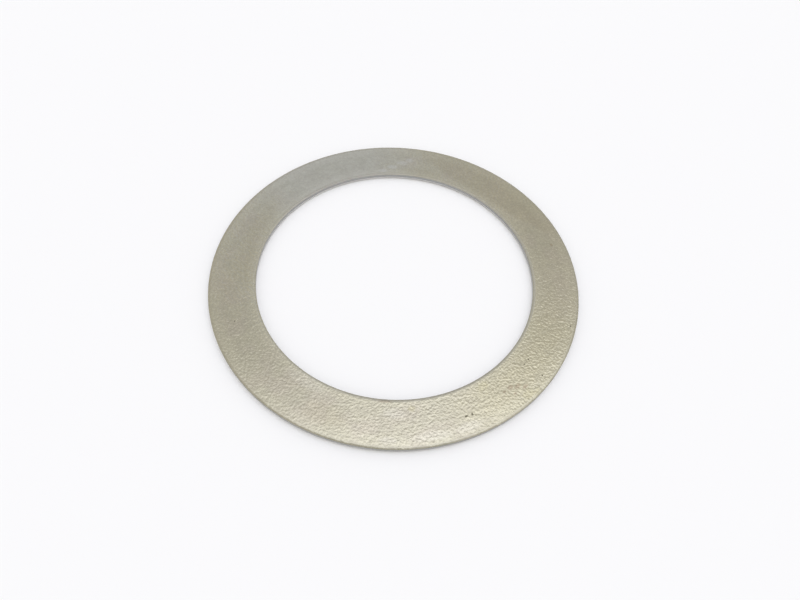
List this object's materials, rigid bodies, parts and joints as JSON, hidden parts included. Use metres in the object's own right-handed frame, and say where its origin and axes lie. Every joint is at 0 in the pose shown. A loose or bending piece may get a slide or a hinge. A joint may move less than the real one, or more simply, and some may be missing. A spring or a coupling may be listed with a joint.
{
  "type": "shim ring",
  "caption": "Thin flat steel ring that slides over a shaft, drops into a housing bore and takes up end play between the parts on each side.",
  "frame": {"origin": "centre of the bore on the lower face, which is the face on the burr side", "axes": "+Z along the bore, towards the face that the die rolled over at its edges; X and Y in the plane of the ring"},
  "size_m": [0.0599, 0.0598, 0.001],
  "materials": {
    "bare_steel": "bare cold-rolled steel with a tumbled, finely rippled face"
  },
  "bodies": {
    "root": {"shim_ring": "bare_steel"}
  },
  "joints": []
}
